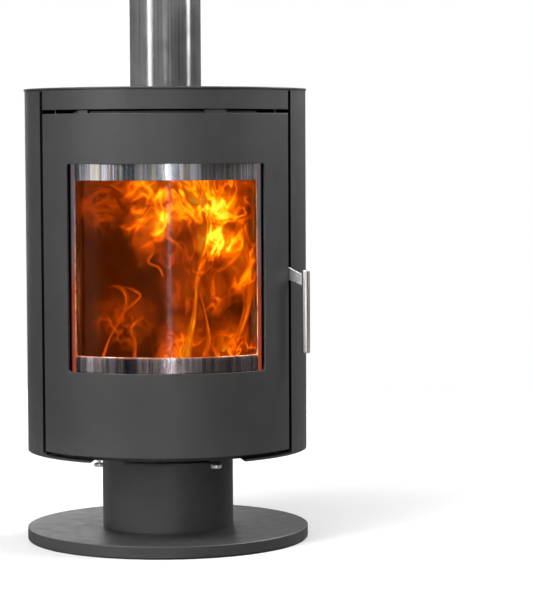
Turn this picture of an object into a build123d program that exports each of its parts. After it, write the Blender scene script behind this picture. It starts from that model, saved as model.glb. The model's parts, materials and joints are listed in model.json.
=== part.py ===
from build123d import *
import math
import os

# Wood burning stove: a round-fronted steel stove on a pedestal, with a curved glazed door.
# Millimetres. The origin is the centre of the base on the floor, +Z is up, the door faces -Y.
# Angles around the stove are in degrees from the front, positive towards +X.

# Heights
BASE_TOP = 22.0
PEDESTAL_TOP = 157.5
BODY_BOTTOM = 160.5
DOOR_BOTTOM = 168.0
DOOR_TOP = 738.0
FASCIA_BOTTOM = 744.5
FASCIA_TOP = 778.5
TOP_SURFACE = 781.5
PIPE_SHOULDER = 981.5
PIPE_TOP = 1031.5

# The round body
BODY_RADIUS = 243.0
SHEET = 3.0
BASE_RADIUS = 245.0
PEDESTAL_RADIUS = 114.0
DOOR_ANGLE = 58.3
SIDE_START = 60.3
SIDE_END = 125.0
SIDE_FOLD_RADIUS = 237.0
REAR_Y = 139.0
REAR_HALF_WIDTH = 196.4
EDGE_ROUND = 1.5
REAR_SLOT_PITCH = 28
REAR_SLOT_HALF_WIDTH = 4
REAR_SLOT_HEIGHTS = (670, 725)
REAR_SCREW_RADIUS = 4.5
AIR_PORT_HALF_WIDTH = 40
AIR_PORT_Y = (52, 88)

# Flue, for a nominal 125 mm system
FLUE_Y = 57.0
PIPE_RADIUS = 63.0
PIPE_WALL = 1.5
SOCKET_BORE_RADIUS = 63.6
SPIGOT_BORE_RADIUS = 58.5
SPIGOT_WALL = 2.5
SPIGOT_TOP = 850.0

# Door panel, its inner plate, and the rope seal round the inner plate
DOOR_PLATE = 4.0
INNER_PLATE = 3.0
FLANGE_INNER = 232.0
FLANGE_ANGLE = 51.0
FLANGE_HEIGHTS = (172, 734)
FLANGE_OPENING_ANGLE = 48.0
FLANGE_OPENING_HEIGHTS = (184, 722)
SEAL_INNER = 225.6
SEAL_ANGLE = 50.4
SEAL_HEIGHTS = (175, 731)
SEAL_OPENING_ANGLE = 48.6
SEAL_OPENING_HEIGHTS = (182, 724)

# Door window, glass and the polished trim behind the glass
WINDOW_ANGLE = 42.7
WINDOW_BOTTOM = 308.0
WINDOW_TOP = 654.5
GLASS_INNER = 234.0
GLASS_OUTER = 237.5
GLASS_ANGLE = 45.0
GLASS_BOTTOM = 300.0
GLASS_TOP = 662.0
TRIM_INNER = 230.0
TRIM_OUTER = 233.5
TRIM_ANGLE = 46.0
TRIM_OPENING_ANGLE = 40.4
TRIM_OPENING_BOTTOM = 335.0
TRIM_OPENING_TOP = 627.0
TRIM_HEIGHTS = (296, 666)
TRIM_SCREW_RADIUS = 3.0
GLASS_GAP = 0.8

# Welded firebox
PLATE = 5.0
FIREBOX_HALF_WIDTH = 180.0
FIREBOX_FRONT_RADIUS = 221.5
FIREBOX_REAR = 110.0
ASH_FLOOR_BOTTOM = 161.0
ASH_FLOOR_TOP = 164.0
FIREBOX_FLOOR = 200.0
FIREBOX_TOP = 735.0
FRAME_INNER = 222.0
FRAME_OUTER = 225.0
FRAME_ANGLE = 53.0
FRAME_OPENING_ANGLE = 43.0
FRAME_OPENING_HEIGHTS = (300, 660)
PAN_OPENING_ANGLE = 28.0
PAN_OPENING_HEIGHTS = (168, 197)

# Fire bricks and grate
BRICK = 25.0
BRICK_BASE = 206.0
BRICK_TOP = 640.0
GRATE_HALF_WIDTH = 59.0
GRATE_FRONT = -69.0
GRATE_REAR = 49.0
GRATE_BOTTOM = 221.0
GRATE_FOOT = 4.0
GRATE_SLOTS = 7
GRATE_SLOT_PITCH = 15.0
BAFFLE_TILT = 16.0
PAN_HALF_WIDTH = 100.0
PAN_Y = (-188, 40)
PAN_HEIGHTS = (165, 196)
PAN_WALL = 1.5
GUARD_INNER = 214.0
GUARD_TOP = 298.0

# Door hinge
HINGE_RADIUS = 232.0
HINGE_ANGLE = -56.0
HINGE_PIN_RADIUS = 3.0
HINGE_CLEARANCE = 0.05
KNUCKLE_RADIUS = 6.0
KNUCKLE_LENGTH = 25.0
LOWER_BRACKET_BOTTOM = 200.0
UPPER_BRACKET_BOTTOM = 698.0
BRACKET_THICKNESS = 5.0

# Handle: its blade lies in a vertical plane that leaves the stove at 45 degrees
HANDLE_PIVOT = (191.2, -106.4, 472.0)
HANDLE_REACH = 61.1
HANDLE_BAR_RADIUS = 7.0
HANDLE_BAR_BOTTOM = 334.0
HANDLE_BAR_TOP = 474.0
BLADE_THICKNESS = 3.0
HANDLE_PIN_RADIUS = 3.0

# Air controls under the body
AIR_BOX_RADIUS = 105.0
AIR_BOX_BOTTOM = 147.5
AIR_BOX_FLOOR = 149.5
AIR_SLIDE_BOTTOM = 144.0
AIR_SLIDE_RADIUS = 150.0
AIR_SLIDE_ANGLE = 30.0
AIR_KNOB_RADIUS = 9.5
AIR_KNOB_BOTTOM = 137.0
ROD_DIRECTION = (-0.2588, -0.9659)
ROD_LATERAL = 84.8
ROD_WIDTH = 16.0
ROD_BOTTOM = 150.3
ROD_TOP = 153.8
ROD_KNOB_DISTANCE = 135.6
ROD_KNOB_RADIUS = 8.5

AT_BASE = (Align.CENTER, Align.CENTER, Align.MIN)


def polar(radius, angle):
    """Point on a circle about the stove's axis, the angle measured from the front."""
    turn = math.radians(angle)
    return (radius * math.sin(turn), -radius * math.cos(turn))


def block(x, y, z):
    """Box between two limits on each axis."""
    size = [high - low for low, high in (x, y, z)]
    middle = [(high + low) / 2 for low, high in (x, y, z)]
    return Pos(*middle) * Box(*size)


def disc(radius, bottom, top, centre=(0, 0)):
    return Pos(centre[0], centre[1], bottom) * Cylinder(radius, top - bottom, align=AT_BASE)


def ring(outer, inner, bottom, top, centre=(0, 0)):
    return disc(outer, bottom, top, centre) - disc(inner, bottom, top, centre)


def sector(inner, outer, start, end, bottom, top):
    """Part of a ring between two angles."""
    middle = (start + end) / 2
    outline = make_face(
        [
            ThreePointArc(polar(outer, start), polar(outer, middle), polar(outer, end)),
            Line(polar(outer, end), polar(inner, end)),
            ThreePointArc(polar(inner, end), polar(inner, middle), polar(inner, start)),
            Line(polar(inner, start), polar(outer, start)),
        ]
    )
    return extrude(Pos(0, 0, bottom) * outline, amount=top - bottom, dir=(0, 0, 1))


def window(inner, outer, angle, bottom, top, corner):
    """Cutter for an opening in a curved sheet, with rounded corners."""
    cutter = sector(inner - 5, outer + 5, -angle, angle, bottom, top)
    corners = [edge for edge in cutter.edges().filter_by(GeomType.LINE) if abs(edge.tangent_at(0).Z) < 0.5]
    return fillet(corners, corner)


def curved_frame(inner, outer, angle, bottom, top, hole_angle, hole_bottom, hole_top, corner):
    """Curved sheet with one centred opening."""
    sheet = sector(inner, outer, -angle, angle, bottom, top)
    return sheet - window(inner, outer, hole_angle, hole_bottom, hole_top, corner)


def firebox_plate(bottom, top, half_width, rear):
    """Flat plate whose front edge follows the curved front."""
    return disc(FIREBOX_FRONT_RADIUS, bottom, top) & block(
        (-half_width, half_width), (-BODY_RADIUS, rear), (bottom, top)
    )


def radial_cylinder(radius, start, end, angle, height):
    """Cylinder that points straight out from the stove's axis."""
    x, y = polar(start, angle)
    out_x, out_y = polar(1, angle)
    place = Plane(origin=(x, y, height), x_dir=(0, 0, 1), z_dir=(out_x, out_y, 0))
    return place * Cylinder(radius, end - start, align=AT_BASE)


def base_parts():
    cover = disc(BASE_RADIUS, 0, BASE_TOP)
    cover = chamfer(cover.edges().group_by(Axis.Z)[0], 3)
    cover = fillet(cover.edges().group_by(Axis.Z)[-1], EDGE_ROUND)
    cover -= disc(BASE_RADIUS - 4.5, 0, BASE_TOP - 4)
    pedestal = ring(PEDESTAL_RADIUS, PEDESTAL_RADIUS - SHEET, BASE_TOP, PEDESTAL_TOP)
    pedestal -= sector(PEDESTAL_RADIUS - 10, PEDESTAL_RADIUS + 10, -76, 40, 143, PEDESTAL_TOP)
    return {
        "base_cover": cover,
        "base_weight": disc(BASE_RADIUS - 5, 0, 8),
        "pedestal": pedestal,
    }


def body_shell():
    rear_chord = block((-300, 300), (REAR_Y + 2, 300), (0, 2000))
    air_port = block((-AIR_PORT_HALF_WIDTH, AIR_PORT_HALF_WIDTH), AIR_PORT_Y, (0, 300))
    notch_outline = make_face(Polyline((-138, -260), (-118, -138), (118, -138), (138, -260), close=True))
    notch = extrude(notch_outline, amount=300, dir=(0, 0, 1))
    bottom_plate = disc(BODY_RADIUS, PEDESTAL_TOP, BODY_BOTTOM) - rear_chord - notch - air_port
    top_plate = disc(BODY_RADIUS + 1.5, FASCIA_TOP, TOP_SURFACE) - rear_chord
    top_plate = fillet(top_plate.edges().filter_by(GeomType.CIRCLE).group_by(Axis.Z)[-1], 1)
    top_plate -= disc(SPIGOT_BORE_RADIUS + SPIGOT_WALL + 0.5, 700, 800, (0, FLUE_Y))
    side = sector(BODY_RADIUS - SHEET, BODY_RADIUS, SIDE_START, SIDE_END, BODY_BOTTOM, FASCIA_TOP)
    fold_end = SIDE_START + 0.6
    side += sector(SIDE_FOLD_RADIUS, BODY_RADIUS - 1, SIDE_START, fold_end, BODY_BOTTOM, FASCIA_TOP)
    rear = block((-REAR_HALF_WIDTH, REAR_HALF_WIDTH), (REAR_Y - SHEET, REAR_Y), (BODY_BOTTOM, FASCIA_TOP))
    slots = [
        block(
            (x - REAR_SLOT_HALF_WIDTH, x + REAR_SLOT_HALF_WIDTH),
            (REAR_Y - 10, REAR_Y + 10),
            REAR_SLOT_HEIGHTS,
        )
        for x in range(-5 * REAR_SLOT_PITCH, 5 * REAR_SLOT_PITCH + 1, REAR_SLOT_PITCH)
    ]
    screws = [
        Pos(x, REAR_Y, z) * Rot(-90, 0, 0) * Cylinder(REAR_SCREW_RADIUS, 2, align=AT_BASE)
        for x in (-180, 180)
        for z in (180, 470, 760)
    ]
    fascia = sector(BODY_RADIUS - SHEET, BODY_RADIUS, -DOOR_ANGLE, DOOR_ANGLE, FASCIA_BOTTOM, FASCIA_TOP)
    lip_bottom = FASCIA_TOP - 2
    fascia += sector(BODY_RADIUS - 14, BODY_RADIUS - 1, -DOOR_ANGLE, DOOR_ANGLE, lip_bottom, FASCIA_TOP)
    return {
        "bottom_plate": bottom_plate,
        "top_plate": top_plate,
        "side_panel_right": side,
        "side_panel_left": mirror(side, about=Plane.YZ),
        "rear_panel": rear - slots,
        "rear_panel_screws": Compound(children=screws),
        "upper_fascia": fascia,
    }


def firebox():
    floor_port = block((-54, 54), (-64, 44), (0, 300))
    air_port = block((-AIR_PORT_HALF_WIDTH, AIR_PORT_HALF_WIDTH), AIR_PORT_Y, (0, 300))
    inner_half = FIREBOX_HALF_WIDTH - PLATE
    wall_front = -math.sqrt(FIREBOX_FRONT_RADIUS**2 - FIREBOX_HALF_WIDTH**2)
    wall = block(
        (inner_half, FIREBOX_HALF_WIDTH), (wall_front, FIREBOX_REAR), (ASH_FLOOR_BOTTOM, FIREBOX_TOP - PLATE)
    )
    top = firebox_plate(FIREBOX_TOP - PLATE, FIREBOX_TOP, FIREBOX_HALF_WIDTH, FIREBOX_REAR)
    frame = curved_frame(
        FRAME_INNER, FRAME_OUTER, FRAME_ANGLE, ASH_FLOOR_BOTTOM, FIREBOX_TOP,
        FRAME_OPENING_ANGLE, *FRAME_OPENING_HEIGHTS, 8,
    )
    pan_opening = window(FRAME_INNER, FRAME_OUTER, PAN_OPENING_ANGLE, *PAN_OPENING_HEIGHTS, 3)
    rear_inner = FIREBOX_REAR - PLATE
    return {
        "firebox_right": wall,
        "firebox_left": mirror(wall, about=Plane.YZ),
        "firebox_rear": block(
            (-inner_half, inner_half), (rear_inner, FIREBOX_REAR), (ASH_FLOOR_BOTTOM, FIREBOX_TOP - PLATE)
        ),
        "firebox_top": top - disc(SPIGOT_BORE_RADIUS, 700, 800, (0, FLUE_Y)),
        "firebox_floor": firebox_plate(FIREBOX_FLOOR, FIREBOX_FLOOR + PLATE, inner_half, rear_inner)
        - floor_port,
        "ash_floor": firebox_plate(ASH_FLOOR_BOTTOM, ASH_FLOOR_TOP, inner_half, rear_inner) - air_port,
        "front_frame": frame - pan_opening,
    }


def fire_bed():
    half = FIREBOX_HALF_WIDTH - PLATE - 2
    brick_floor_top = BRICK_BASE + BRICK
    grate_hole = block((-60, 60), (-70, 50), (0, 300))
    floor = disc(208, BRICK_BASE, brick_floor_top) & block((-half, half), (-208, 104), (0, 300))
    floor -= grate_hole
    side = block((half - BRICK, half), (-115, 78.5), (brick_floor_top, BRICK_TOP))
    side = chamfer(side.edges().filter_by(Axis.Z).group_by(Axis.Y)[0], 3)
    rear = block((-half, half), (79, 104), (brick_floor_top, BRICK_TOP))
    grooves = [block((-half, half), (78, 81), (z, z + 3)) for z in (333, 435, 537)]
    baffle = Pos(0, 15, 674) * Rot(-BAFFLE_TILT, 0, 0) * Box(2 * half - 2, 170, 20)
    grate = block(
        (-GRATE_HALF_WIDTH, GRATE_HALF_WIDTH), (GRATE_FRONT, GRATE_REAR), (GRATE_BOTTOM, brick_floor_top)
    )
    for number in range(GRATE_SLOTS):
        x = (number - (GRATE_SLOTS - 1) / 2) * GRATE_SLOT_PITCH
        grate -= block((x - 4, x + 4), (GRATE_FRONT + 10, GRATE_REAR - 10), (200, 300))
    feet = [
        block((x, x + GRATE_FOOT), (y, y + GRATE_FOOT), (FIREBOX_FLOOR + PLATE, GRATE_BOTTOM))
        for x in (-GRATE_HALF_WIDTH, GRATE_HALF_WIDTH - GRATE_FOOT)
        for y in (GRATE_FRONT, GRATE_REAR - GRATE_FOOT)
    ]
    pan_inside = PAN_HALF_WIDTH - PAN_WALL
    pan = block((-PAN_HALF_WIDTH, PAN_HALF_WIDTH), PAN_Y, PAN_HEIGHTS)
    pan -= block(
        (-pan_inside, pan_inside),
        (PAN_Y[0] + PAN_WALL, PAN_Y[1] - PAN_WALL),
        (PAN_HEIGHTS[0] + PAN_WALL, PAN_HEIGHTS[1] + 4),
    )
    pan += block((-35, 35), (PAN_Y[0] - 11, PAN_Y[0] + 1), (PAN_HEIGHTS[1] - 2, PAN_HEIGHTS[1]))
    return {
        "brick_floor": floor,
        "brick_right": side,
        "brick_left": mirror(side, about=Plane.YZ),
        "brick_rear": rear - grooves,
        "baffle": baffle,
        "baffle_rail": block((-half, half), (-62, -54), (671, 683)),
        "grate": grate,
        "grate_feet": Compound(children=feet),
        "ash_pan": pan,
        "log_guard": sector(GUARD_INNER, GUARD_INNER + SHEET, -40, 40, FIREBOX_FLOOR + PLATE, GUARD_TOP),
    }


def flue():
    centre = (0, FLUE_Y)
    bore = PIPE_RADIUS - PIPE_WALL
    socket = SOCKET_BORE_RADIUS + PIPE_WALL
    profile = make_face(
        Polyline(
            (bore, TOP_SURFACE),
            (PIPE_RADIUS, TOP_SURFACE),
            (PIPE_RADIUS, PIPE_SHOULDER - 4),
            (socket, PIPE_SHOULDER),
            (socket, PIPE_TOP),
            (SOCKET_BORE_RADIUS, PIPE_TOP),
            (SOCKET_BORE_RADIUS, PIPE_SHOULDER),
            (bore, PIPE_SHOULDER - 4),
            close=True,
        )
    )
    pipe = revolve(Plane.XZ * profile, Axis.Z)
    spigot_outer = SPIGOT_BORE_RADIUS + SPIGOT_WALL
    spigot = ring(spigot_outer, SPIGOT_BORE_RADIUS, FIREBOX_TOP, SPIGOT_TOP, centre)
    return {"flue_pipe": Pos(0, FLUE_Y, 0) * pipe, "flue_spigot": spigot}


def door():
    panel_inner = BODY_RADIUS - DOOR_PLATE
    sheet = curved_frame(
        panel_inner, BODY_RADIUS, DOOR_ANGLE, DOOR_BOTTOM, DOOR_TOP,
        WINDOW_ANGLE, WINDOW_BOTTOM, WINDOW_TOP, 5,
    )
    flange = curved_frame(
        FLANGE_INNER, panel_inner, FLANGE_ANGLE, *FLANGE_HEIGHTS,
        FLANGE_OPENING_ANGLE, *FLANGE_OPENING_HEIGHTS, 4,
    )
    recess_angle = GLASS_ANGLE + math.degrees(GLASS_GAP / GLASS_OUTER)
    inner_plate = curved_frame(
        panel_inner - INNER_PLATE, panel_inner, FLANGE_ANGLE, *FLANGE_HEIGHTS,
        recess_angle, GLASS_BOTTOM - GLASS_GAP, GLASS_TOP + GLASS_GAP, GLASS_GAP,
    )
    screw_start = TRIM_INNER - 2
    screw_end = TRIM_INNER - 0.05
    screws = [
        radial_cylinder(TRIM_SCREW_RADIUS, screw_start, screw_end, side * 44, height)
        for side in (-1, 1)
        for height in (315, 481, 647)
    ]
    screws += [
        radial_cylinder(TRIM_SCREW_RADIUS, screw_start, screw_end, angle, height)
        for angle in (-22, 0, 22)
        for height in (306, 656)
    ]
    return {
        "door_panel": sheet,
        "door_stiffener": flange + inner_plate,
        "door_gasket": curved_frame(
            SEAL_INNER, FLANGE_INNER, SEAL_ANGLE, *SEAL_HEIGHTS,
            SEAL_OPENING_ANGLE, *SEAL_OPENING_HEIGHTS, 6,
        ),
        "window_glass": sector(
            GLASS_INNER, GLASS_OUTER, -GLASS_ANGLE, GLASS_ANGLE, GLASS_BOTTOM, GLASS_TOP
        ),
        "glass_gasket": curved_frame(
            GLASS_OUTER, panel_inner, GLASS_ANGLE, GLASS_BOTTOM, GLASS_TOP, 43.3, 305.5, 657, 5
        ),
        "window_trim": curved_frame(
            TRIM_INNER, TRIM_OUTER, TRIM_ANGLE, *TRIM_HEIGHTS,
            TRIM_OPENING_ANGLE, TRIM_OPENING_BOTTOM, TRIM_OPENING_TOP, 3,
        ),
        "trim_screws": Compound(children=screws),
    }


def hinge():
    centre = polar(HINGE_RADIUS, HINGE_ANGLE)
    brackets = []
    pins = []
    knuckles = []
    for bracket_bottom, knuckle_bottom in (
        (LOWER_BRACKET_BOTTOM, LOWER_BRACKET_BOTTOM + 5.5),
        (UPPER_BRACKET_BOTTOM, UPPER_BRACKET_BOTTOM - 0.5 - KNUCKLE_LENGTH),
    ):
        bracket_top = bracket_bottom + BRACKET_THICKNESS
        heights = (bracket_bottom, bracket_top)
        arm = block((centre[0], -FIREBOX_HALF_WIDTH), (centre[1] - 5, centre[1] + 5), heights)
        foot = block((-FIREBOX_HALF_WIDTH - 3, -FIREBOX_HALF_WIDTH), (centre[1], -90), heights)
        bracket = arm + foot + disc(5, bracket_bottom, bracket_top, centre)
        brackets.append(bracket - disc(HINGE_PIN_RADIUS, bracket_bottom, bracket_top, centre))
        knuckle_top = knuckle_bottom + KNUCKLE_LENGTH
        pin_bottom = min(bracket_bottom, knuckle_bottom)
        pin_top = max(bracket_top, knuckle_top)
        pins.append(disc(HINGE_PIN_RADIUS, pin_bottom, pin_top, centre))
        knuckle = disc(KNUCKLE_RADIUS, knuckle_bottom, knuckle_top, centre)
        knuckle += sector(236.5, BODY_RADIUS - DOOR_PLATE, -58, -52, knuckle_bottom, knuckle_top)
        bore = disc(HINGE_PIN_RADIUS + HINGE_CLEARANCE, knuckle_bottom, knuckle_top, centre)
        knuckles.append(knuckle - bore)
    return {
        "hinge_brackets": Compound(children=brackets),
        "hinge_pins": Compound(children=pins),
        "hinge_knuckles": Compound(children=knuckles),
    }


def handle():
    half = BLADE_THICKNESS / 2
    eye_radius = 11
    plane = Plane(origin=HANDLE_PIVOT, x_dir=(1, -1, 0), z_dir=(-1, -1, 0))
    outline = make_face(
        Polyline((0, -8.5), (0, 13.5), (HANDLE_REACH, -8.5), (HANDLE_REACH, -26), close=True)
    )
    hook = Pos(-7, -12) * Rectangle(8, 20)
    blade = extrude(plane * (outline + Circle(eye_radius) + hook), amount=half, both=True)
    blade -= plane * Cylinder(HANDLE_PIN_RADIUS + HINGE_CLEARANCE, 20)
    bar_x = HANDLE_PIVOT[0] + HANDLE_REACH / math.sqrt(2)
    bar_y = HANDLE_PIVOT[1] - HANDLE_REACH / math.sqrt(2)
    bar = disc(HANDLE_BAR_RADIUS, HANDLE_BAR_BOTTOM, HANDLE_BAR_TOP, (bar_x, bar_y))
    blade -= bar
    bar = fillet(bar.edges().filter_by(GeomType.CIRCLE), 1.2)
    ear_start = half + 0.3
    ear = Pos(5.5, 0, ear_start + 1.5) * Box(29, 28, 3)
    bracket = plane * ear + sector(236, BODY_RADIUS - DOOR_PLATE, 51.5, 59, 450, 494)
    bracket -= plane * Cylinder(HANDLE_PIN_RADIUS, 20)
    pin = plane * Pos(0, 0, -half - 1.5) * Cylinder(HANDLE_PIN_RADIUS, ear_start + half + 6, align=AT_BASE)
    return {
        "handle_blade": blade,
        "handle_bar": bar,
        "handle_bracket": bracket,
        "handle_pin": pin,
        "latch_keeper": block(
            (FIREBOX_HALF_WIDTH, FIREBOX_HALF_WIDTH + 3), (-95, -75), (448, 472)
        ),
    }


def rod_place(distance, lateral, height):
    """Position measured along the air rod from its point nearest to the axis."""
    along_x, along_y = ROD_DIRECTION
    x = distance * along_x + lateral * along_y
    y = distance * along_y - lateral * along_x
    return Pos(x, y, height) * Rot(0, 0, math.degrees(math.atan2(along_y, along_x)))


def rod_block(distances, laterals, heights):
    length = distances[1] - distances[0]
    width = laterals[1] - laterals[0]
    place = rod_place(sum(distances) / 2, sum(laterals) / 2, heights[0])
    return place * Box(length, width, heights[1] - heights[0], align=AT_BASE)


def air_controls():
    slide_top = AIR_SLIDE_BOTTOM + SHEET
    box = disc(AIR_BOX_RADIUS, AIR_BOX_BOTTOM, PEDESTAL_TOP)
    box -= disc(AIR_BOX_RADIUS - 2, AIR_BOX_FLOOR, PEDESTAL_TOP)
    box -= sector(AIR_BOX_RADIUS - 5, AIR_BOX_RADIUS + 5, -84, -56, AIR_BOX_FLOOR, PEDESTAL_TOP)
    box -= sector(45, 85, -8, 5, 140, PEDESTAL_TOP)
    box -= rod_block((-33, -8), (42, 70), (140, PEDESTAL_TOP))
    slide = sector(15, AIR_SLIDE_RADIUS, -AIR_SLIDE_ANGLE, AIR_SLIDE_ANGLE, AIR_SLIDE_BOTTOM, slide_top)
    slide += disc(20, AIR_SLIDE_BOTTOM, slide_top)
    knob_centre = polar(AIR_SLIDE_RADIUS + 6, AIR_SLIDE_ANGLE + 1.5)
    slide += disc(AIR_KNOB_RADIUS - 1, AIR_SLIDE_BOTTOM, slide_top, knob_centre)
    slide -= sector(45, 85, 5, 18, 140, 150)
    slide -= disc(4.05, AIR_SLIDE_BOTTOM, slide_top)
    knob = disc(AIR_KNOB_RADIUS, AIR_KNOB_BOTTOM, AIR_SLIDE_BOTTOM, knob_centre)
    pivot = disc(4, 143.5, AIR_BOX_BOTTOM) + disc(8, 139.5, 143.5)
    half_width = ROD_WIDTH / 2
    rod = rod_block((-40, ROD_KNOB_DISTANCE + 8), (ROD_LATERAL - half_width, ROD_LATERAL + half_width),
                    (ROD_BOTTOM, ROD_TOP))
    rod += rod_block((-40, 5), (36, ROD_LATERAL), (ROD_BOTTOM, ROD_TOP))
    rod_knob = rod_place(ROD_KNOB_DISTANCE, ROD_LATERAL, 139) * Cylinder(ROD_KNOB_RADIUS, 6, align=AT_BASE)
    rod_knob = fillet(rod_knob.edges().filter_by(GeomType.CIRCLE), 1.5)
    rod_knob += rod_place(ROD_KNOB_DISTANCE, ROD_LATERAL, 144) * Cylinder(
        3, ROD_BOTTOM - 144, align=AT_BASE
    )
    channel = sector(195, 236, -48, 48, FIREBOX_TOP, DOOR_TOP)
    airwash = sector(205, 236, -40, 40, DOOR_TOP + 0.5, DOOR_TOP + 3.5)
    airwash += sector(230, 241.5, 15.5, 24.5, DOOR_TOP + 0.5, DOOR_TOP + 5.2)
    airwash += sector(238, 241.5, 18.5, 23, DOOR_TOP + 4, FASCIA_BOTTOM - 0.4)
    for number in range(5):
        angle = -34 + 15 * number
        channel -= sector(214, 226, angle - 4, angle + 4, 700, 750)
        airwash -= sector(214, 226, angle - 4, angle + 4, 730, 750)
    return {
        "air_box": box,
        "air_slide": slide,
        "air_slide_knob": fillet(knob.edges().filter_by(GeomType.CIRCLE), 1.5),
        "air_slide_pivot": pivot,
        "primary_air_rod": rod,
        "primary_air_knob": rod_knob,
        "airwash_channel": channel,
        "airwash_slide": airwash,
        "slot_lug": sector(236.5, 241.5, -36.8, -32.2, DOOR_TOP + 0.3, DOOR_TOP + 5.2),
    }


def main():
    os.makedirs("parts", exist_ok=True)
    groups = (base_parts, body_shell, firebox, fire_bed, flue, door, hinge, handle, air_controls)
    for group in groups:
        for name, shape in group().items():
            export_step(shape, f"parts/{name}.step")


main()
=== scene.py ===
import json
import math
import random

import bmesh
import bpy
from mathutils import Matrix, Vector


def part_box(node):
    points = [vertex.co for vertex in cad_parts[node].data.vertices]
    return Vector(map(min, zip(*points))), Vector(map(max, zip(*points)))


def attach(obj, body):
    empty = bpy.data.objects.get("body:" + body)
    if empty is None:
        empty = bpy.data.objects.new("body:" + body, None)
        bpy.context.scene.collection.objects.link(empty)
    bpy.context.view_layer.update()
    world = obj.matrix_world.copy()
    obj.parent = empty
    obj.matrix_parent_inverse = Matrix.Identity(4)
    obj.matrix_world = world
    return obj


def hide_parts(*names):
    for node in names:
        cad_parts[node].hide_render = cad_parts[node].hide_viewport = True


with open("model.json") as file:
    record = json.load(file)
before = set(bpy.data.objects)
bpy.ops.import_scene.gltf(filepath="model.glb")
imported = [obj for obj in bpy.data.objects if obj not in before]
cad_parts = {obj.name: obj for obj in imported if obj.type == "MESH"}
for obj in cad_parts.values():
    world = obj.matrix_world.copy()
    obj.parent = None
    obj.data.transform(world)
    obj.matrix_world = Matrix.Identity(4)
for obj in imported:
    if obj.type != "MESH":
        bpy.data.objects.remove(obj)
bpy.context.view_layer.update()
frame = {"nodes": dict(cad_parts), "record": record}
nodes = frame["nodes"]

BODY_RADIUS = -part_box("door_panel")[0].y
MM = 0.001


# ---------------------------------------------------------------- materials


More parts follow.
